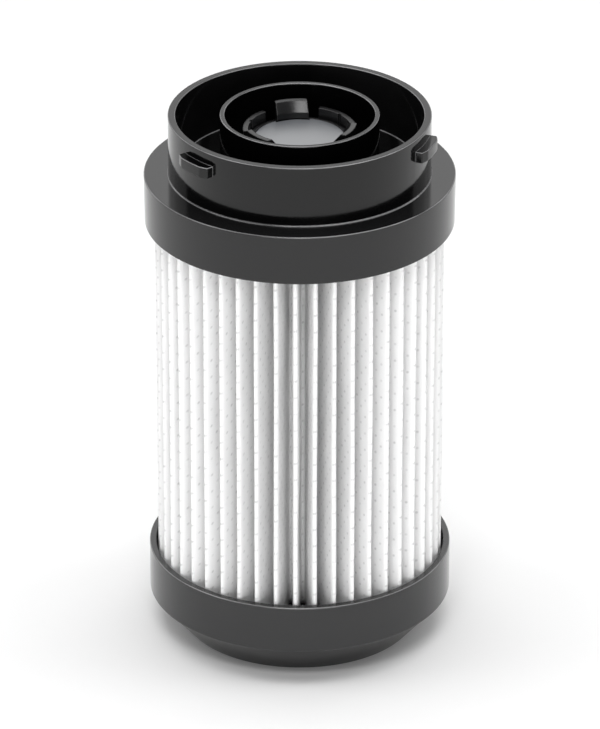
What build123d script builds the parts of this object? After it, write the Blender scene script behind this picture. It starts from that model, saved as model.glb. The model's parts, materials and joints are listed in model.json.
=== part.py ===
"""Pleated filter cartridge for a water pump, with a bayonet collar and a non-return valve.

Millimetres, +Z up. The origin is on the cartridge's axis, at the underside of its foot.
Water goes in through the pleats, up the core, past the valve and out of the spigot.
"""

from build123d import *
from math import asin, cos, degrees, radians, sin
import os

# Clearances, shared by every fit of their kind.
bond_gap = 0.03  # glued, welded or pressed faces that curve round each other
slide_gap = 0.2  # pieces that are pushed together by hand
stem_gap = 0.08  # the poppet's stem in its guide and in the spring seat
snap_gap = 0.1  # play of the valve body under the snap hooks
pleat_gap = 0.65  # tips of the pleats inside the narrower of the two end caps
edge_round = 0.4  # corners of the mouldings that the eye follows
edge_break = 0.2  # every other rim and small edge

# Foot and lower end cap.
foot_height = 11.6
foot_base_radius = 36.3
foot_top_radius = 46.3
foot_wall = 2.2
foot_recess = 0.8
foot_tread = 6.0
foot_ribs = 6
foot_rib_wall = 1.6
lower_cap_radius = 47.0
lower_cap_height = 15.3
lower_cap_wall = 2.0
lower_cap_floor = 2.2
lower_potting = 3.4

# Pleats and core.
media_length = 122.7
media_wall = 0.72
pleat_count = 46
pleat_angle = 268.15
seam_depth = 3.0
core_radius = 25.0
core_wall = 1.5
core_gap = 0.3
window_rows = 4
window_columns = 6
window_height = 21.0
window_width = 15.0

# Upper end cap: a flange with a deep skirt, and a raised land that carries the collar.
flange_radius = 47.6
flange_wall = 2.3
skirt_height = 15.6
skirt_draft = 0.2
skirt_wall = 2.2
skirt_lip = 2.5
land_height = 0.4
core_socket_depth = 5.0
core_socket_wall = 1.8

# Bayonet collar with its channel and spigot.
collar_radius = 40.1
collar_height = 19.2
collar_rim_wall = 2.25
collar_root_wall = 3.5
channel_floor = 1.2
spigot_radius = 24.3
spigot_wall = 1.4
lug_count = 3
lug_angle = 99.8
lug_reach = 2.9
lug_width = 13.5
lug_height = 3.5
lug_drop = 3.75
lug_end_run = 2.4
lug_end_reach = 0.7

# Valve cage: a slotted ring of arcs and snap hooks.
cage_ring_radius = 17.3
cage_ring_wall = 1.6
cage_ring_drop = 4.7
cage_count = 3
cage_angle = 99.8
arc_span = 57.0
arc_notch_width = 1.2
arc_notch_depth = 0.6
hook_span = 32.7
hook_drop = 2.6
hook_overhang = 2.4
hook_ramp = 3.05
hook_nose = 2.05
cage_sleeve_depth = 8.0
cage_sleeve_wall = 1.8

# Valve body, poppet and spring.
body_shoulder = 1.9
pocket_wall = 1.3
body_barrel_depth = 9.0
barrel_wall = 2.5
seat_depth = 2.5
ring_section = 1.5
ring_sides = 8
ring_groove_drop = 3.0
guide_drop = 1.2
guide_height = 3.0
guide_hub_radius = 3.4
guide_hub_height = 5.0
guide_spokes = 3
guide_spoke_wall = 1.5
disc_gap = 0.4
disc_wall = 1.7
seal_wall = 0.9
seal_inset = 0.4
boss_radius = 9.6
boss_taper = 4.5
stem_radius = 1.75
poppet_lift = 5.0
spring_height = 9.3
spring_radius = 3.0
spring_wire = 0.5
spring_turns = 4.5
spring_wire_sides = 5
spring_seat_radius = 4.2
spring_seat_wall = 0.9
stop_sleeve_wall = 0.5
clip_radius = 3.6
clip_wall = 0.8
clip_slot = 1.8
stem_neck = 0.45
stem_tail = 1.4

# Heights that follow from the sizes above.
cap_floor_top = foot_height + lower_cap_floor
lower_rim = foot_height + lower_cap_height
media_bottom = cap_floor_top + lower_potting
media_top = media_bottom + media_length
skirt_bottom = media_top - skirt_lip
flange_top = skirt_bottom + skirt_height
flange_under = flange_top - flange_wall
land_top = flange_top + land_height
floor_top = land_top + channel_floor
rim_top = flange_top + collar_height
ring_top = rim_top - cage_ring_drop
hook_top = rim_top - hook_drop
nose_top = hook_top - hook_ramp
nose_under = nose_top - hook_nose

# Radii that follow. The pleats stand inside both end caps.
root_radius = core_radius + core_gap
lower_cap_bore = lower_cap_radius - lower_cap_wall
skirt_bore = flange_radius - skirt_draft - skirt_wall
media_tip_radius = min(lower_cap_bore, skirt_bore) - pleat_gap
cage_bore = cage_ring_radius - cage_ring_wall
hook_width = 2 * cage_ring_radius * sin(radians(hook_span / 2))
nose_radius = cage_bore - hook_overhang
body_radius = cage_bore - slide_gap
barrel_radius = body_radius - body_shoulder
sleeve_bore = barrel_radius + slide_gap
sleeve_radius = sleeve_bore + cage_sleeve_wall
seat_bore = barrel_radius - barrel_wall
pocket_radius = body_radius - pocket_wall
disc_radius = pocket_radius - disc_gap
notch_radius = nose_radius - disc_gap
core_bore = core_radius - core_wall
spigot_bore = spigot_radius - spigot_wall

# Heights inside the valve.
body_top = nose_under - snap_gap
seat_face = body_top - seat_depth
disc_under = seat_face + seal_wall
disc_top = disc_under + disc_wall
barrel_bottom = floor_top - body_barrel_depth
guide_top = floor_top - guide_drop
guide_under = guide_top - guide_height
hub_under = guide_top - guide_hub_height
spring_bottom = hub_under - spring_height
neck_top = spring_bottom - spring_seat_wall
neck_under = neck_top - clip_wall
neck_radius = stem_radius - stem_neck
stem_bore = stem_radius + stem_gap


def turned(*corners):
    """A solid of revolution from its half section, given as (radius, height) corners."""
    section = make_face(Polyline(*corners, close=True))
    return revolve(Plane.XZ * section, Axis.Z)


def tube(outer, inner, low, high):
    return turned((inner, low), (outer, low), (outer, high), (inner, high))


def edges_at(solid, radius, height):
    """The full circles of the given radius at the given height."""
    circles = solid.edges().filter_by(GeomType.CIRCLE)
    return circles.filter_by(
        lambda e: abs(e.radius - radius) < 1e-3 and abs(e.center().Z - height) < 1e-3
    )


def around(shape, count, start=0.0):
    """Copies of a shape at equal angles about the axis."""
    return [Rot(0, 0, start + 360 / count * k) * shape for k in range(count)]


def sector(section, start, span):
    """A half section turned through only part of a circle."""
    return Rot(0, 0, start) * revolve(Plane.XZ * section, Axis.Z, span)


# --- Lower end -----------------------------------------------------------------------------


def base_foot():
    """Dished foot that centres the cartridge in its housing, with ribs inside."""
    slope = (foot_top_radius - foot_base_radius) / foot_height
    plate = foot_recess + foot_wall
    tread = foot_base_radius - foot_tread
    dish = turned(
        (0, foot_recess),
        (tread, foot_recess),
        (tread, 0),
        (foot_base_radius, 0),
        (foot_top_radius, foot_height),
        (foot_top_radius - foot_wall, foot_height),
        (foot_base_radius - foot_wall + slope * plate, plate),
        (0, plate),
    )
    dish = chamfer(edges_at(dish, foot_base_radius, 0), edge_round)
    rib_end = foot_base_radius - foot_wall + slope * plate
    rib_section = make_face(
        Polyline(
            (0, plate),
            (rib_end, plate),
            (foot_top_radius - foot_wall, foot_height),
            (0, foot_height),
            close=True,
        )
    )
    rib = extrude(Plane.XZ * rib_section, foot_rib_wall / 2, both=True)
    return dish + around(rib, foot_ribs)


def end_cap_bottom():
    """Cup that the lower ends of the pleats and the core are potted into."""
    cup = turned(
        (0, foot_height),
        (lower_cap_radius, foot_height),
        (lower_cap_radius, lower_rim),
        (lower_cap_bore, lower_rim),
        (lower_cap_bore, cap_floor_top),
        (0, cap_floor_top),
    )
    spigot = tube(
        core_bore - slide_gap,
        core_bore - slide_gap - core_socket_wall,
        cap_floor_top,
        cap_floor_top + core_socket_depth,
    )
    cup = cup + spigot
    cup = fillet(edges_at(cup, lower_cap_radius, lower_rim), edge_round)
    return chamfer(edges_at(cup, lower_cap_radius, foot_height), edge_break)


def potting_bottom():
    return tube(
        lower_cap_bore - bond_gap,
        core_radius + bond_gap,
        cap_floor_top,
        media_bottom,
    )


# --- Pleats and core -----------------------------------------------------------------------


def polar(radius, angle):
    return Vector(radius * cos(radians(angle)), radius * sin(radians(angle)))


def flank_start(fold_centre, crease, far_crease):
    """Where the flank from a crease runs on to a fold's round tip, on that crease's side."""
    to_crease = crease - fold_centre
    way = to_crease.normalized()
    along = media_wall**2 / to_crease.length
    across = (media_wall**2 - along**2) ** 0.5
    touches = [fold_centre + way * along + way.rotate(Axis.Z, turn) * across for turn in (90, -90)]
    return max(touches, key=lambda touch: (touch - far_crease).length)


def pleat_outline(tip, crease, first):
    """One closed zigzag: tips at one radius, sharp creases half a pitch on at another.

    Tips that point outwards are round, and those that rest on the core are pressed flatter.
    """
    pitch = 360 / pleat_count
    fold = ThreePointArc if tip > crease else Polyline
    fold_radius = tip - media_wall if tip > crease else tip + media_wall
    edges = []
    for k in range(pleat_count):
        here = first + pitch * k
        centre = polar(fold_radius, here)
        before = polar(crease, here - pitch / 2)
        after = polar(crease, here + pitch / 2)
        start = flank_start(centre, before, after)
        end = flank_start(centre, after, before)
        edges += [Line(before, start), *fold(start, polar(tip, here), end).edges(), Line(end, after)]
    return Wire(edges)


def pleated_media():
    """The pleated sheet: each fold is round outside and creased inside."""
    outside = pleat_outline(media_tip_radius, root_radius + media_wall, pleat_angle)
    inside = pleat_outline(root_radius, media_tip_radius - media_wall, pleat_angle + 180 / pleat_count)
    sheet = Face(outside) - Face(inside)
    return Pos(0, 0, media_bottom) * extrude(sheet, media_length)


def media_seam():
    """Weld bead at the bottom of one groove, where the two ends of the sheet meet."""
    pitch = 360 / pleat_count
    groove = pleat_angle + pitch * (pleat_count // 2 + 0.5)
    crease = polar(root_radius + media_wall, groove)
    centres = [polar(media_tip_radius - media_wall, groove + side * pitch / 2) for side in (-1, 1)]
    beyond = [polar(root_radius + media_wall, groove + side * pitch) for side in (-1, 1)]
    ends = []
    for centre, far_crease in zip(centres, beyond):
        flank = flank_start(centre, crease, far_crease) - crease
        ends.append(crease + flank.normalized() * seam_depth)
    half_width = (ends[1] - ends[0]).length / 2
    clear = polar(bond_gap * seam_depth / half_width, groove)
    section = make_face(Polyline(crease + clear, ends[0] + clear, ends[1] + clear, close=True))
    return Pos(0, 0, media_bottom) * extrude(section, media_length)


def core_tube():
    """Perforated tube inside the pleats, from cap to cap."""
    height = flange_under - cap_floor_top
    wall = tube(core_radius, core_bore, cap_floor_top, flange_under)
    pitch = (height - 2 * core_socket_depth) / window_rows
    reach = core_radius + core_wall
    cutters = []
    for row in range(window_rows):
        middle = cap_floor_top + core_socket_depth + pitch * (row + 0.5)
        window = Pos(reach / 2, 0, middle) * Box(reach, window_width, window_height)
        cutters += around(window, window_columns)
    return wall - cutters


# --- Upper end cap -------------------------------------------------------------------------


def end_cap_top():
    """Flange and skirt in one moulding, with the land that the collar is welded on."""
    skirt_foot = flange_radius - skirt_draft
    hole = sleeve_radius + bond_gap
    socket = core_bore - slide_gap
    cap = turned(
        (hole, flange_under),
        (socket - core_socket_wall, flange_under),
        (socket - core_socket_wall, flange_under - core_socket_depth),
        (socket, flange_under - core_socket_depth),
        (socket, flange_under),
        (skirt_bore, flange_under),
        (skirt_bore, skirt_bottom),
        (skirt_foot, skirt_bottom),
        (flange_radius, flange_top),
        (collar_radius, flange_top),
        (collar_radius, land_top),
        (hole, land_top),
    )
    cap = fillet(edges_at(cap, flange_radius, flange_top), edge_round)
    cap = fillet(edges_at(cap, collar_radius, flange_top), land_height * 0.9)
    return chamfer(edges_at(cap, skirt_foot, skirt_bottom), edge_break)


def potting_top():
    return tube(
        skirt_bore - bond_gap,
        core_radius + bond_gap,
        media_top,
        flange_under,
    )


# --- Collar --------------------------------------------------------------------------------


def bayonet_lug():
    """Level bar on the collar's wall, curved with it and sloped at its ends."""
    root = collar_radius - collar_rim_wall / 2
    reach = collar_radius + lug_reach
    half = lug_width / 2
    shoulder = polar(reach - lug_end_reach, degrees(asin(half / (reach - lug_end_reach))))
    corner = polar(reach, degrees(asin((half - lug_end_run) / reach)))
    one_side = [Vector(root, half), shoulder, corner]
    other_side = [Vector(p.X, -p.Y) for p in reversed(one_side)]
    ends = Polyline(*one_side) + Polyline(*other_side)
    outline = ends + ThreePointArc(corner, (reach, 0), other_side[0])
    bar = extrude(make_face(outline + Line(other_side[-1], one_side[0])), lug_height)
    outer = bar.edges().filter_by(lambda e: e.center().X > collar_radius)
    return Pos(0, 0, rim_top - lug_drop - lug_height) * chamfer(outer, edge_break)


def bayonet_collar():
    """Collar, channel floor and spigot in one moulding, with three lugs."""
    rim_bore = collar_radius - collar_rim_wall
    root_bore = collar_radius - collar_root_wall
    collar = turned(
        (spigot_bore, land_top),
        (collar_radius, land_top),
        (collar_radius, rim_top),
        (rim_bore, rim_top),
        (root_bore, floor_top),
        (spigot_radius, floor_top),
        (spigot_radius, rim_top),
        (spigot_bore, rim_top),
    )
    collar = fillet(edges_at(collar, root_bore, floor_top), edge_round)
    rims = edges_at(collar, collar_radius, rim_top) + edges_at(collar, rim_bore, rim_top)
    rims += edges_at(collar, spigot_radius, rim_top) + edges_at(collar, spigot_bore, rim_top)
    collar = chamfer(rims, edge_break)
    return collar + around(bayonet_lug(), lug_count, lug_angle)


# --- Valve cage ----------------------------------------------------------------------------


def valve_cage():
    """Base disc with a sleeve below, and above it three arcs and three snap hooks."""
    base = turned(
        (sleeve_bore, land_top - cage_sleeve_depth),
        (sleeve_radius, land_top - cage_sleeve_depth),
        (sleeve_radius, land_top),
        (spigot_bore - bond_gap, land_top),
        (spigot_bore - bond_gap, floor_top),
        (sleeve_bore, floor_top),
    )
    wall = make_face(
        Polyline(
            (cage_bore, floor_top),
            (cage_ring_radius, floor_top),
            (cage_ring_radius, ring_top),
            (cage_bore, ring_top),
            close=True,
        )
    )
    arc = sector(wall, -arc_span / 2, arc_span)
    notch = Pos(cage_bore, 0, (floor_top + ring_top) / 2)
    arc -= notch * Box(2 * arc_notch_depth, arc_notch_width, ring_top - floor_top)
    hooked = turned(
        (cage_bore, floor_top),
        (cage_ring_radius, floor_top),
        (cage_ring_radius, hook_top),
        (cage_bore, hook_top),
        (nose_radius, nose_top),
        (nose_radius, nose_under),
        (cage_bore, nose_under),
    )
    hook = hooked & Pos(cage_ring_radius, 0, rim_top) * Box(
        2 * cage_ring_radius, hook_width, 2 * collar_height
    )
    half_pitch = 180 / cage_count
    cage = base + around(arc, cage_count, cage_angle + half_pitch)
    return cage + around(hook, cage_count, cage_angle)


# --- Valve ---------------------------------------------------------------------------------


def valve_body():
    """Cup with the seat, a grooved barrel below it and a three-spoke stem guide."""
    groove_top = floor_top - ring_groove_drop
    groove_under = groove_top - ring_section - slide_gap
    groove_radius = sleeve_bore - ring_section - 2 * bond_gap
    shell = turned(
        (seat_bore, barrel_bottom),
        (barrel_radius, barrel_bottom),
        (barrel_radius, groove_under),
        (groove_radius, groove_under),
        (groove_radius, groove_top),
        (barrel_radius, groove_top),
        (barrel_radius, floor_top),
        (body_radius, floor_top),
        (body_radius, body_top),
        (pocket_radius, body_top),
        (pocket_radius, seat_face),
        (seat_bore, seat_face),
    )
    shell = chamfer(edges_at(shell, body_radius, body_top), edge_break)
    hub = tube(guide_hub_radius, stem_bore, hub_under, guide_top)
    reach = seat_bore + barrel_wall / 4
    start = (guide_hub_radius + stem_bore) / 2
    spoke = Pos((start + reach) / 2, 0, (guide_top + guide_under) / 2)
    spoke *= Box(reach - start, guide_spoke_wall, guide_height)
    return shell + hub + around(spoke, guide_spokes, cage_angle)


def valve_poppet():
    """Disc, tapered boss and stem, with a neck for the clip near the stem's end.

    The disc is wider than the opening between the noses: the hooks guide it in three notches.
    """
    poppet = turned(
        (0, neck_under - stem_tail),
        (stem_radius, neck_under - stem_tail),
        (stem_radius, neck_under),
        (neck_radius, neck_under),
        (neck_radius, neck_top),
        (stem_radius, neck_top),
        (stem_radius, seat_face - boss_taper),
        (boss_radius, seat_face),
        (boss_radius, disc_under),
        (disc_radius, disc_under),
        (disc_radius, disc_top),
        (0, disc_top),
    )
    poppet = fillet(edges_at(poppet, disc_radius, disc_top), edge_break)
    poppet = chamfer(edges_at(poppet, stem_radius, neck_under - stem_tail), stem_neck)
    beyond = tube(2 * disc_radius, notch_radius, disc_under - disc_gap, disc_top + disc_gap)
    notch = beyond & Pos(2 * disc_radius, 0, disc_top) * Box(
        4 * disc_radius, hook_width + 2 * disc_gap, 4 * disc_wall
    )
    return poppet - around(notch, cage_count, cage_angle)


def poppet_seal():
    return tube(notch_radius - seal_inset, boss_radius + bond_gap, seat_face, disc_under)


def valve_o_ring():
    middle = (sleeve_bore - bond_gap) - ring_section / 2
    height = floor_top - ring_groove_drop - (ring_section + slide_gap) / 2
    section = Pos(middle, height) * RegularPolygon(ring_section / 2, ring_sides)
    return revolve(Plane.XZ * section, Axis.Z)


def valve_spring():
    """Compression spring round the stem, between the guide's hub and the spring seat."""
    rise = spring_height - spring_wire - 2 * bond_gap
    coil = Helix(rise / spring_turns, rise, spring_radius)
    start = Plane(origin=coil @ 0, z_dir=coil % 0)
    wire = sweep(start * RegularPolygon(spring_wire / 2, spring_wire_sides), path=coil, is_frenet=True)
    return Pos(0, 0, spring_bottom + spring_wire / 2 + bond_gap) * wire


def spring_seat():
    """Flanged sleeve on the stem: it carries the spring, and its top stops the poppet's lift."""
    stop = spring_height - poppet_lift
    return turned(
        (stem_bore, neck_top),
        (spring_seat_radius, neck_top),
        (spring_seat_radius, spring_bottom),
        (stem_bore + stop_sleeve_wall, spring_bottom),
        (stem_bore + stop_sleeve_wall, spring_bottom + stop),
        (stem_bore, spring_bottom + stop),
    )


def stem_clip():
    """Slotted clip in the stem's neck, under the spring seat."""
    ring = tube(clip_radius, neck_radius + bond_gap, neck_under, neck_top)
    slot = Pos(clip_radius / 2, 0, (neck_under + neck_top) / 2)
    return ring - slot * Box(clip_radius, clip_slot, 2 * clip_wall)


pieces = {
    "base_foot": base_foot,
    "end_cap_bottom": end_cap_bottom,
    "potting_bottom": potting_bottom,
    "pleated_media": pleated_media,
    "media_seam": media_seam,
    "core_tube": core_tube,
    "potting_top": potting_top,
    "end_cap_top": end_cap_top,
    "bayonet_collar": bayonet_collar,
    "valve_cage": valve_cage,
    "valve_body": valve_body,
    "valve_o_ring": valve_o_ring,
    "valve_poppet": valve_poppet,
    "poppet_seal": poppet_seal,
    "valve_spring": valve_spring,
    "spring_seat": spring_seat,
    "stem_clip": stem_clip,
}

os.makedirs("parts", exist_ok=True)
for name, make in pieces.items():
    export_step(make(), f"parts/{name}.step")
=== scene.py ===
"""Looks of the pleated water filter: black mouldings, white pleats and the grey valve disc.

Metres, +Z up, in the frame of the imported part. Sections follow the order of assembly.
"""

import json
from math import acos, atan2, cos, pi, radians, sin

import bmesh
import bpy
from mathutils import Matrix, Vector, noise

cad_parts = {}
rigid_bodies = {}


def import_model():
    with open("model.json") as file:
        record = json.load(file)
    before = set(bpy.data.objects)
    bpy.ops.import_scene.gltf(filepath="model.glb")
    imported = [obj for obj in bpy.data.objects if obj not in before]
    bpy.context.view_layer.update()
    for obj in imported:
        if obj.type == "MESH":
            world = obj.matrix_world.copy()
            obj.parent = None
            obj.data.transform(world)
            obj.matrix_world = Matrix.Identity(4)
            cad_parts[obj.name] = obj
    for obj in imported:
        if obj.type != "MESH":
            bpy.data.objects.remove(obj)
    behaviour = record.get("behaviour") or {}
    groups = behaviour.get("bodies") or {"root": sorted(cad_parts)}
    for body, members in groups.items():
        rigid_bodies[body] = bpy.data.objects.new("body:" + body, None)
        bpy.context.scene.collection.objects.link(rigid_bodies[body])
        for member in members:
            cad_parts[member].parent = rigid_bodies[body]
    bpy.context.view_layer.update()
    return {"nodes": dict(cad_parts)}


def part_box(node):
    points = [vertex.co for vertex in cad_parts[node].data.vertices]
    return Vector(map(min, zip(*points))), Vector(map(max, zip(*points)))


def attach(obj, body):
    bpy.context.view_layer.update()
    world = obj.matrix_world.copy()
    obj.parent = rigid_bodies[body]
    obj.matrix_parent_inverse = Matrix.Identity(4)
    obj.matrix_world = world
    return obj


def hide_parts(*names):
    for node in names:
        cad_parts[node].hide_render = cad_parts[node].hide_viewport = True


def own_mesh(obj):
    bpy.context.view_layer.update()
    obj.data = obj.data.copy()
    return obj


for leftover in list(bpy.data.objects):
    bpy.data.objects.remove(leftover)

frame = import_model()


# --- Foot ------------------------------------------------------------------------------------
# Dished foot that the cartridge stands on. Black polypropylene, injection moulded and polished,
# welded to the underside of the lower end cap.


def put(tree, kind, inputs=None, **settings):
    """Adds a shader node. Its inputs are plain values, or sockets to link from."""
    made = tree.nodes.new(kind)
    for name, value in settings.items():
        setattr(made, name, value)
    for socket, value in (inputs or {}).items():
        if isinstance(value, bpy.types.NodeSocket):
            tree.links.new(value, made.inputs[socket])
        else:
            made.inputs[socket].default_value = value
    return made


def maths(tree, operation, a, b=0.0):
    """One step of arithmetic on values or sockets."""
    return put(tree, "ShaderNodeMath", {0: a, 1: b}, operation=operation).outputs[0]


def spread(tree, value, seen=(0.0, 1.0), wanted=(0.0, 1.0), **settings):
    """Carries a value over from the range it is seen in to the range that is wanted."""
    ends = {"From Min": seen[0], "From Max": seen[1], "To Min": wanted[0], "To Max": wanted[1]}
    return put(tree, "ShaderNodeMapRange", {"Value": value, **ends}, **settings).outputs[0]


def clouds(tree, here, scale, detail, distortion=0.0):
    """Soft noise, with its scale per metre."""
    inputs = {"Vector": here, "Scale": scale, "Detail": detail, "Distortion": distortion}
    return put(tree, "ShaderNodeTexNoise", inputs).outputs["Fac"]


def mixed(tree, share, first, second):
    """A colour between two others."""
    inputs = {0: share, 6: first, 7: second}
    return put(tree, "ShaderNodeMix", inputs, data_type="RGBA").outputs[2]


def relief(tree, height, strength, distance, under=None):
    """The normal of a fine relief, laid over another normal if one is given."""
    inputs = {"Height": height, "Strength": strength, "Distance": distance}
    if under is not None:
        inputs["Normal"] = under
    return put(tree, "ShaderNodeBump", inputs).outputs[0]


def own_place(tree):
    """Where a point lies in its own piece."""
    return put(tree, "ShaderNodeTexCoord").outputs["Object"]


def surface(name):
    """A new material and its node tree."""
    made = bpy.data.materials.new(name)
    made.use_nodes = True
    return made, made.node_tree


def dress(tree, colour, roughness, normal):
    """Wires the inputs that vary over the surface to the material's own shader."""
    shader = tree.nodes["Principled BSDF"]
    tree.links.new(colour, shader.inputs["Base Color"])
    tree.links.new(roughness, shader.inputs["Roughness"])
    tree.links.new(normal, shader.inputs["Normal"])
    return shader


def effect(name, takes, gives):
    """An empty node group with the named sockets, and its two ends."""
    tree = bpy.data.node_groups.new(name, "ShaderNodeTree")
    for title, kind in takes.items():
        tree.interface.new_socket(title, in_out="INPUT", socket_type=kind)
    for title, kind in gives.items():
        tree.interface.new_socket(title, in_out="OUTPUT", socket_type=kind)
    return tree, put(tree, "NodeGroupInput").outputs, put(tree, "NodeGroupOutput").inputs


# Polished mould skin: a cloudy gloss, a very fine grain, and painted highlights: sharp corners
# painted lighter, and a painted glint on the rounded upper lips, strongest where they face halfway
# up, both in patches that follow the cloud.
skin, given, result = effect(
    "mould skin",
    {
        "Plastic": "NodeSocketColor",
        "Painted highlight": "NodeSocketColor",
        "Gloss low": "NodeSocketFloat",
        "Gloss high": "NodeSocketFloat",
        "Corner": "NodeSocketFloat",
        "Lip": "NodeSocketFloat",
    },
    {
        "Colour": "NodeSocketColor",
        "Roughness": "NodeSocketFloat",
        "Grain": "NodeSocketFloat",
        "Soft corners": "NodeSocketVector",
    },
)
cloud_scale, cloud_detail = 45.0, 4.0
grain_scale, grain_detail = 2400.0, 2.0
corner_turn = (0.93, 0.76)  # cosine of the corner's turn, from plain to the full painted highlight
corner_most = 0.4
patches_least = 0.4

here = own_place(skin)
cloud = clouds(skin, here, cloud_scale, cloud_detail)
fine = clouds(skin, here, grain_scale, grain_detail)
gloss = spread(skin, cloud, (0.3, 0.7), (given["Gloss low"], given["Gloss high"]))
corner = put(skin, "ShaderNodeBevel", {"Radius": given["Corner"]}, samples=6).outputs[0]
plain = put(skin, "ShaderNodeNewGeometry").outputs["Normal"]
turn = put(skin, "ShaderNodeVectorMath", {0: corner, 1: plain}, operation="DOT_PRODUCT")
# Painted highlight on sharp corners, and a painted glint on the upper lips.
sharp = spread(skin, turn.outputs["Value"], corner_turn, (0.0, corner_most))
upward = put(skin, "ShaderNodeSeparateXYZ", {0: plain}).outputs["Z"]
level = maths(skin, "POWER", maths(skin, "MAXIMUM", upward, 0.0), 2.0)
slant = maths(skin, "MULTIPLY", level, maths(skin, "SUBTRACT", 1.0, level))
lips = maths(skin, "MULTIPLY", slant, given["Lip"])
# The cloud breaks the painted highlights into patches.
patches = spread(skin, cloud, (0.35, 0.65), (patches_least, 1.0))
painted_highlight = maths(skin, "MULTIPLY", maths(skin, "MAXIMUM", sharp, lips), patches)
shade = mixed(skin, painted_highlight, given["Plastic"], given["Painted highlight"])
skin.links.new(shade, result["Colour"])
skin.links.new(gloss, result["Roughness"])
skin.links.new(fine, result["Grain"])
skin.links.new(corner, result["Soft corners"])

grain_depth = 0.0001


def moulded(
    name, plastic, highlight_tone, gloss=(0.08, 0.14), corner=0.00045, grain=0.02, ior=1.5, lip=0.0
):
    """Moulded plastic: the mould skin on one shader, with this piece's own values."""
    made, tree = surface(name)
    own = put(
        tree,
        "ShaderNodeGroup",
        {
            "Plastic": (*plastic, 1),
            "Painted highlight": (*highlight_tone, 1),
            "Gloss low": gloss[0],
            "Gloss high": gloss[1],
            "Corner": corner,
            "Lip": lip,
        },
        node_tree=skin,
    ).outputs
    grained = relief(tree, own["Grain"], grain, grain_depth, own["Soft corners"])
    shader = dress(tree, own["Colour"], own["Roughness"], grained)
    shader.inputs["IOR"].default_value = ior
    return made


def finish_node(name, material):
    """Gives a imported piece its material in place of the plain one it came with."""
    for slot in frame["nodes"][name].material_slots:
        slot.material = material


# Darker than the caps' black of the same plastic: painted shade on the foot.
foot_black = (0.004, 0.004, 0.0042)
# Pale grey painted on the corners and lips of the black pieces: a painted highlight.
black_highlight = (0.55, 0.55, 0.56)
finish_node("base_foot", moulded("foot black", foot_black, black_highlight, gloss=(0.16, 0.24)))


# --- Lower end cap ---------------------------------------------------------------------------
# Shallow cup of the same black polypropylene. The ends of the pleats and of the core stand in it,
# in cast resin, and its outer wall is polished.

# Lighter than the upper cap's black of the same plastic: painted light on the lower cap.
lower_black = (0.0115, 0.0115, 0.0119)
finish_node(
    "end_cap_bottom", moulded("lower cap black", lower_black, black_highlight, ior=1.55, lip=1.7)
)


# --- Potting ---------------------------------------------------------------------------------
# Black polyurethane, cast in both caps round the ends of the pleats. It sets with a level,
# slightly uneven skin.


def times(colour, share):
    return [part * share for part in colour]


def toned(tree, value, dark, light, stops=(0.0, 1.0)):
    """A colour that follows a value from a darker tone to a lighter one."""
    ramp = put(tree, "ShaderNodeValToRGB", {"Fac": value})
    for element, stop, colour in zip(ramp.color_ramp.elements, stops, (dark, light)):
        element.position = stop
        element.color = (*colour, 1)
    return ramp.outputs[0]


def cast_resin(name, colour):
    made, tree = surface(name)
    here = own_place(tree)
    swell = clouds(tree, here, 160.0, 3.0)
    pits = put(tree, "ShaderNodeTexVoronoi", {"Vector": here, "Scale": 700.0}).outputs["Distance"]
    tone = toned(tree, swell, times(colour, 0.7), times(colour, 1.5))
    dull = spread(tree, swell, wanted=(0.25, 0.5))
    pitted = relief(tree, pits, 0.08, 0.0001, relief(tree, swell, 0.3, 0.0005))
    dress(tree, tone, dull, pitted)
    return made


resin = cast_resin("potting resin", (0.02, 0.02, 0.02))
finish_node("potting_bottom", resin)
finish_node("potting_top", resin)


# --- Core tube -------------------------------------------------------------------------------
# Perforated tube of natural polypropylene inside the pleats. It keeps them from being sucked in,
# and plugs on to the two caps.

milky = (0.66, 0.66, 0.64)
# Lighter tone painted on the tube's sharp corners: a painted highlight.
milky_highlight = (0.74, 0.74, 0.72)
finish_node(
    "core_tube",
    moulded("natural polypropylene", milky, milky_highlight, gloss=(0.35, 0.5), grain=0.08),
)


# --- Pleats ----------------------------------------------------------------------------------
# One long strip of white spunbonded polyester, folded into forty-six pleats and closed to a ring.
# Rows of bond points are pressed into the strip, sixteen columns to each pleat.

pleat_count = 46
pleat_start = radians(268.15)
tip_radius = 0.04435
crease_radius = 0.0253
sheet = 0.0005
fold = 0.00085  # half the width over a tip
nose_depth = 0.0015
crease_bend = 0.0009
columns_per_pleat = 16
row_spacing = 0.0056
row_drift = 0.08  # rows that the pattern climbs from one pleat to the next
fold_steps, flank_steps, crease_steps, height_steps = 9, 8, 5, 58
media_low, media_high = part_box("pleated_media")

# Unevenness of the folded sheet: how far each kind moves it at most, and its changes per metre.
lean_most = 0.00025
sway_most, sway_rate = 0.0002, 16
belly_most, belly_rate = 0.00040, 32
sink_most, sink_rate = 0.0003, 10
held_share = 1 / 6  # of the height at each end, where the caps hold the sheet straight


def ring_point(radius, angle):
    return Vector((radius * cos(angle), radius * sin(angle)))


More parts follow.
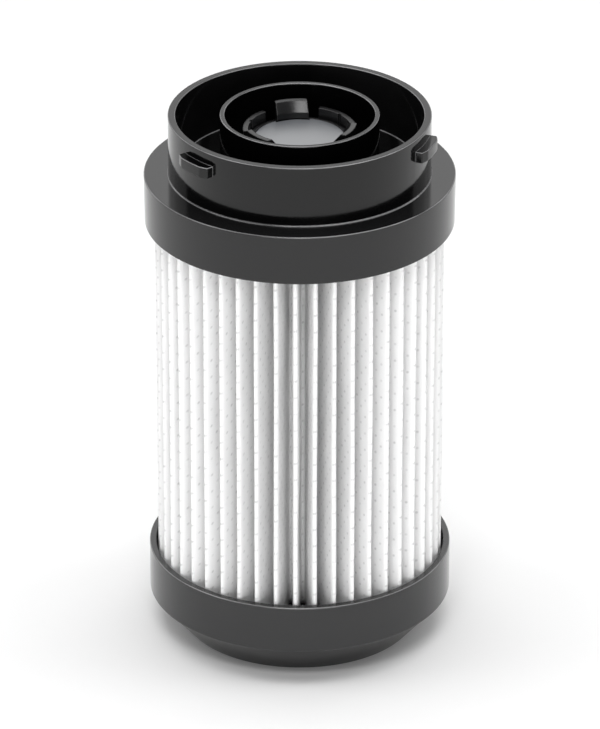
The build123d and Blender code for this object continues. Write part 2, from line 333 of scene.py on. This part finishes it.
def half_pleat():
    """One flank from the middle of its round tip to the middle of its round crease, along +X."""
    bend = fold - sheet / 2
    nose_middle = Vector((tip_radius - sheet / 2 - nose_depth, 0))
    crease_middle = ring_point(crease_radius + sheet / 2 + crease_bend, pi / pleat_count)
    meet = crease_middle
    for _ in range(6):  # closes in on the straight line that touches both rounds
        away = Vector(((meet.x - nose_middle.x) * bend / nose_depth, meet.y))
        turn = atan2(away.y, away.x) - acos(bend / away.length)
        leave = nose_middle + Vector((cos(turn) * nose_depth, sin(turn) * bend))
        along = (meet - leave).normalized()
        meet = crease_middle + Vector((-along.y, along.x)) * crease_bend
    points = []
    for k in range(fold_steps + 1):
        nose = ring_point(1, turn * k / fold_steps)
        points.append(nose_middle + Vector((nose.x * nose_depth, nose.y * bend)))
    points += [leave.lerp(meet, k / flank_steps) for k in range(1, flank_steps + 1)]
    begin = atan2(along.x, -along.y) + 2 * pi
    end = pi + pi / pleat_count
    for k in range(1, crease_steps + 1):
        angle = begin + (end - begin) * k / crease_steps
        points.append(crease_middle + ring_point(crease_bend, angle))
    return points


def wander(*where):
    """A smooth random value between -1 and 1."""
    return noise.noise(Vector(where))


flank = half_pleat()
lengths = [0.0]
for a, b in zip(flank, flank[1:]):
    lengths.append(lengths[-1] + (b - a).length)
shares = [length / lengths[-1] for length in lengths]

mesh = bmesh.new()
strip = mesh.loops.layers.uv.new("strip")
rows = []
around = []
for pleat in range(pleat_count):
    for side in (-1, 1):
        order = range(len(flank) - 1, 0, -1) if side < 0 else range(len(flank) - 1)
        for k in order:
            across = (pleat + 0.5 + side * 0.5 * shares[k]) * columns_per_pleat
            around.append((pleat, side, flank[k], shares[k], across))

for step in range(height_steps + 1):
    rise = step / height_steps
    z = media_low.z + (media_high.z - media_low.z) * rise
    free = min(1.0, rise / held_share, (1 - rise) / held_share)
    row = []
    for pleat, side, point, share, across in around:
        turn = pleat_start + 2 * pi * pleat / pleat_count
        loose = free * (1 - share) ** 0.5
        lean = wander(pleat * 9.17, 2.3, 4.4) * lean_most * (1 - share)
        sway = wander(pleat * 7.31, z * sway_rate, 0.5) * sway_most * loose + lean
        bulge = belly_most * free * 4 * share * (1 - share)
        belly = wander(pleat * 3.7, side * 5.1, z * belly_rate) * bulge
        sink = abs(wander(pleat * 5.3, z * sink_rate, 9.1)) * sink_most * loose
        x, y = point.x - sink, side * (point.y + belly) + sway
        at = Vector((x * cos(turn) - y * sin(turn), x * sin(turn) + y * cos(turn)))
        row.append(mesh.verts.new((at.x, at.y, z)))
    rows.append(row)

count = len(around)
for step in range(height_steps):
    low_row, high_row = rows[step], rows[step + 1]
    for k in range(count):
        ahead = (k + 1) % count
        face = mesh.faces.new((low_row[k], low_row[ahead], high_row[ahead], high_row[k]))
        face.smooth = True
        u0 = around[k][4]
        u1 = around[ahead][4] if ahead else pleat_count * columns_per_pleat
        corners = ((u0, step), (u1, step), (u1, step + 1), (u0, step + 1))
        for loop, (u, at_row) in zip(face.loops, corners):
            drift = row_drift * u / columns_per_pleat
            loop[strip].uv = (u, rows[at_row][k].co.z / row_spacing + drift)


def as_piece(name, mesh):
    """Puts a finished mesh into the scene as an object."""
    data = bpy.data.meshes.new(name)
    mesh.to_mesh(data)
    mesh.free()
    made = bpy.data.objects.new(name, data)
    bpy.context.scene.collection.objects.link(made)
    return made


pleats = as_piece("pleats", mesh)
thick = pleats.modifiers.new("sheet", "SOLIDIFY")
thick.thickness = sheet
thick.offset = 0


def spunbond(name, white, pressed):
    """White non-woven: cloudy fibres, with a pressed point at each crossing of the pattern."""
    made, tree = surface(name)
    on_strip = put(tree, "ShaderNodeUVMap", uv_map="strip").outputs[0]
    split = put(tree, "ShaderNodeSeparateXYZ", {0: on_strip}).outputs
    here = own_place(tree)

    def do(operation, a, b=0.0):
        return maths(tree, operation, a, b)

    # How far a place is from the nearest bond point. Every other column is half a row higher.
    column = do("FLOOR", do("ADD", split["X"], 0.5))
    beside = do("SUBTRACT", split["X"], column)
    odd = do("MULTIPLY", do("MODULO", column, 2.0), 0.5)
    above = do("SUBTRACT", do("FRACT", do("ADD", split["Y"], odd)), 0.5)

    # Each point is a soft slanting oval, and some are pressed harder than others.
    long_way = do("ADD", do("MULTIPLY", beside, 3.4), do("MULTIPLY", above, 4.5))
    short_way = do("ADD", do("MULTIPLY", beside, -2.9), do("MULTIPLY", above, 11.5))
    reach = do("SQRT", do("ADD", do("POWER", long_way, 2.0), do("POWER", short_way, 2.0)))
    oval = spread(tree, reach, (1.4, 0.3), interpolation_type="SMOOTHSTEP")
    press = spread(tree, clouds(tree, here, 240.0, 1.0), (0.36, 0.64), (0.45, 1.0))
    bond = do("MULTIPLY", oval, press)

    fibres = clouds(tree, here, 1500.0, 3.0, distortion=1.5)
    cloud = clouds(tree, here, 170.0, 3.0)
    web = do("ADD", do("MULTIPLY", fibres, 0.35), do("MULTIPLY", cloud, 0.65))
    tone = toned(tree, web, times(white, 0.96), white, (0.3, 0.65))
    colour = mixed(tree, bond, tone, (*pressed, 1))
    sunk = do("SUBTRACT", do("MULTIPLY", fibres, 0.3), bond)
    dull = spread(tree, fibres, wanted=(0.95, 0.75))
    shader = dress(tree, colour, dull, relief(tree, sunk, 0.35, 0.00012))
    shader.inputs["IOR"].default_value = 1.35
    shader.inputs["Subsurface Weight"].default_value = 0.5
    shader.inputs["Subsurface Radius"].default_value = (1.0, 1.0, 1.0)
    shader.inputs["Subsurface Scale"].default_value = 0.0006
    return made


polyester = spunbond("white spunbond", (0.93, 0.93, 0.93), (0.7, 0.7, 0.7))
pleats.data.materials.append(polyester)
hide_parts("pleated_media")
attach(pleats, "cartridge")
finish_node("media_seam", polyester)


# --- Upper end cap ---------------------------------------------------------------------------
# Flange with a deep skirt round the top of the pleats. Black polypropylene, polished, with a land
# on top that the collar is spin welded to.

upper_black = (0.0075, 0.0075, 0.0078)
finish_node("end_cap_top", moulded("upper cap black", upper_black, black_highlight, lip=1.7))


# --- Collar ----------------------------------------------------------------------------------
# Bayonet collar with three lugs outside and the spigot inside, in one black moulding. It turns
# into the pump's housing and takes its suction sleeve in the channel.

# Darker than the caps' black of the same plastic: painted shade on the collar.
collar_black = (0.0012, 0.0012, 0.0013)
finish_node(
    "bayonet_collar", moulded("collar black", collar_black, black_highlight, ior=1.45, lip=1.9)
)


# --- Valve cage and body ---------------------------------------------------------------------
# Slotted cage with snap hooks, and the valve body that clicks in under them. Both are black
# acetal, stiffer and a little duller than the caps.

acetal_black = (0.005, 0.005, 0.0053)
# Lighter tone painted on the sharp corners of the cage and body: a painted highlight.
acetal_highlight = (0.15, 0.15, 0.155)
valve_black = moulded("valve black", acetal_black, acetal_highlight, gloss=(0.2, 0.3))
finish_node("valve_cage", valve_black)
finish_node("valve_body", valve_black)


# --- Seals -----------------------------------------------------------------------------------
# O-ring on the valve body's barrel and flat seal under the disc. Black nitrile rubber, moulded,
# with a dull and slightly dusty skin.


def rubber(name, colour, dust):
    made, tree = surface(name)
    here = own_place(tree)
    cloud = clouds(tree, here, 300.0, 4.0)
    fine = clouds(tree, here, 4000.0, 2.0)
    bloom = spread(tree, cloud, (0.5, 0.8))
    tone = mixed(tree, bloom, (*colour, 1), (*dust, 1))
    dull = spread(tree, cloud, wanted=(0.5, 0.75))
    dress(tree, tone, dull, relief(tree, fine, 0.2, 0.00005))
    return made


nitrile = rubber("nitrile", (0.018, 0.018, 0.018), (0.04, 0.04, 0.04))
finish_node("valve_o_ring", nitrile)
finish_node("poppet_seal", nitrile)


# --- Poppet and spring seat ------------------------------------------------------------------
# Disc and stem that lift off the seat, and the flanged sleeve that holds the spring. Light grey
# acetal with an even satin skin.

grey = (0.128, 0.134, 0.145)
# Lighter tone painted on the sharp corners of the disc and the seat: a painted highlight.
grey_highlight = (0.16, 0.167, 0.18)
grey_acetal = moulded(
    "grey acetal", grey, grey_highlight, gloss=(0.28, 0.284), corner=0.0002, grain=0.004, ior=2.7
)
finish_node("valve_poppet", grey_acetal)
finish_node("spring_seat", grey_acetal)


# --- Spring ----------------------------------------------------------------------------------
# Compression spring round the stem, cold wound from stainless wire with its end coils closed.
# Its upper end stays on the guide's hub, and it shortens as the poppet lifts.

spring_low, spring_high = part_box("valve_spring")
wire = 0.00025
coil_radius = 0.003
coil_turns = 5.5
closed_turns = 0.9  # at each end
closed_rise = 0.75  # share of the rise that is even over the open coils
wire_sides, coil_steps = 10, 220

mesh = bmesh.new()
loops = []
low, high = spring_low.z + wire, spring_high.z - wire
for step in range(coil_steps + 1):
    share = step / coil_steps
    open_turns = coil_turns - 2 * closed_turns
    rise = min(1.0, max(0.0, (share * coil_turns - closed_turns) / open_turns))
    rise = rise * rise * (3 - 2 * rise) * (1 - closed_rise) + rise * closed_rise
    angle = 2 * pi * coil_turns * share
    out = Vector((cos(angle), sin(angle), 0))
    middle = out * coil_radius + Vector((0, 0, low + (high - low) * rise))
    loop = []
    for k in range(wire_sides):
        about = 2 * pi * k / wire_sides
        rim = out * cos(about) + Vector((0, 0, 1)) * sin(about)
        loop.append(mesh.verts.new(middle + rim * wire))
    loops.append(loop)
for a, b in zip(loops, loops[1:]):
    for k in range(wire_sides):
        ahead = (k + 1) % wire_sides
        mesh.faces.new((a[k], b[k], b[ahead], a[ahead])).smooth = True
mesh.faces.new(loops[0])
mesh.faces.new(list(reversed(loops[-1])))
spring = as_piece("spring", mesh)


def drawn_steel(name, colour):
    """Stainless wire and strip: fine draw lines and an uneven satin gloss."""
    made, tree = surface(name)
    here = own_place(tree)
    lines = clouds(tree, here, 6000.0, 2.0)
    cloud = clouds(tree, here, 500.0, 3.0)
    tone = toned(tree, cloud, times(colour, 0.85), colour)
    dull = spread(tree, cloud, wanted=(0.22, 0.36))
    shader = dress(tree, tone, dull, relief(tree, lines, 0.1, 0.00002))
    shader.inputs["Metallic"].default_value = 1.0
    return made


steel = drawn_steel("spring steel", (0.62, 0.61, 0.59))
spring.data.materials.append(steel)
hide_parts("valve_spring")
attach(spring, "cartridge")
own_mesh(spring)
finish_node("stem_clip", steel)


# --- Floor, light and camera -----------------------------------------------------------------
# White sweep under the filter in a dim white tent. Four soft boxes hang overhead, low ones stand in
# front and behind, and a small bright strip is above the camera.

floor_half = 4.0
mesh = bmesh.new()
bmesh.ops.create_grid(mesh, x_segments=8, y_segments=8, size=floor_half)
floor = as_piece("floor", mesh)
paper, tree = surface("white paper")
sweep = tree.nodes["Principled BSDF"].inputs
sweep["Base Color"].default_value = (0.92, 0.92, 0.92, 1)
sweep["Roughness"].default_value = 0.9
sweep["Specular IOR Level"].default_value = 0.0
floor.data.materials.append(paper)

tent = bpy.data.worlds.new("tent")
tent.use_nodes = True
tent.node_tree.nodes["Background"].inputs["Color"].default_value = (1, 1, 1, 1)
tent.node_tree.nodes["Background"].inputs["Strength"].default_value = 0.13
bpy.context.scene.world = tent


def turned(target, place):
    """Turns a lamp or a camera at a place towards its target."""
    return (Vector(target) - Vector(place)).to_track_quat("-Z", "Y").to_euler()


def soft_box(name, width, height, power, place, aim):
    lamp = bpy.data.lights.new(name, "AREA")
    lamp.shape = "RECTANGLE"
    lamp.size, lamp.size_y, lamp.energy = width, height, power
    box = bpy.data.objects.new(name, lamp)
    box.location = place
    box.rotation_euler = turned(aim, place)
    bpy.context.scene.collection.objects.link(box)


soft_box("overhead box", 1.4, 1.2, 9.0, (0, 0, 1.6), (0, 0, 0))
soft_box("left overhead box", 0.6, 1.2, 5.5, (-0.9, 0, 1.4), (0, 0, 0.1))
soft_box("right overhead box", 0.6, 1.2, 5.5, (0.9, 0, 1.4), (0, 0, 0.1))
soft_box("rear overhead box", 1.6, 0.5, 3.6, (0, 0.7, 1.5), (0, 0, 0.1))
soft_box("front box", 3.0, 1.1, 52.0, (0, -3.0, 0.56), (0, 0, 0.56))
soft_box("back box", 4.0, 2.0, 26.0, (0, 3.0, 1.6), (0, 0, 0.1))
soft_box("left back box", 1.8, 2.0, 13.0, (-2.6, 2.33, 1.6), (0, 0, 0.1))
soft_box("right back box", 1.8, 2.0, 13.0, (2.6, 2.33, 1.6), (0, 0, 0.1))
soft_box("key strip", 0.76, 0.3, 8.2, (-0.122, -1.163, 1.647), (0, 0, 0.15))

lens = bpy.data.cameras.new("camera")
lens.lens = 306.42
lens.sensor_width = 36
camera = bpy.data.objects.new("camera", lens)
camera.location = (0.00008, -1.72, 0.94165)
camera.rotation_euler = turned((0.00008, 0, 0.0872), camera.location)
bpy.context.scene.collection.objects.link(camera)
bpy.context.scene.camera = camera
bpy.context.scene.view_settings.view_transform = "Standard"
